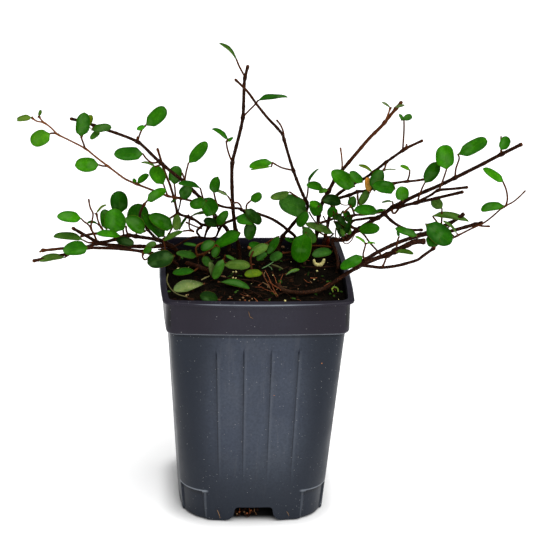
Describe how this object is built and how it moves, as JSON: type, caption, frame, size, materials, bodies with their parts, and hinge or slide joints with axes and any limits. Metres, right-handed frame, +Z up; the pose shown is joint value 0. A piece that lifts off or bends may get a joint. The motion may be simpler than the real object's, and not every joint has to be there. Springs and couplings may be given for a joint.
{
  "type": "potted wire vine",
  "caption": "Creeping wire vine with thin wiry stems and small round leaves, growing from a tapered square nursery pot.",
  "frame": {"origin": "centre of the pot's flat underside, on the surface that it stands on", "axes": "+Z up; -Y towards the front of the pot as pictured, +X to the right"},
  "size_m": [0.2363, 0.0912, 0.2268],
  "materials": {
    "pot_plastic": "satin",
    "soil_mix": "rough and damp",
    "leafy_stem": "satin leaves on matte bark",
    "leaf_faded": "matte",
    "perlite_white": "rough"
  },
  "bodies": {
    "root": {"pot": "pot_plastic", "soil": "soil_mix", "vine_tall": "leafy_stem", "vine_upper_left": "leafy_stem", "vine_young": "leafy_stem", "vine_arching": "leafy_stem", "vine_upper_right": "leafy_stem", "vine_right": "leafy_stem", "vine_thick": "leafy_stem", "vine_trailing": "leafy_stem", "vine_left": "leafy_stem", "vine_low_left": "leafy_stem", "sprig_left": "leafy_stem", "sprig_front_left": "leafy_stem", "sprig_middle": "leafy_stem", "sprig_right": "leafy_stem", "fallen_leaf_pale": "leaf_faded", "fallen_leaf_front": "leaf_faded", "fallen_leaf_dark": "leaf_faded", "fallen_leaf_narrow": "leaf_faded", "fallen_stalk": "leaf_faded", "perlite_flake": "perlite_white"}
  },
  "joints": []
}
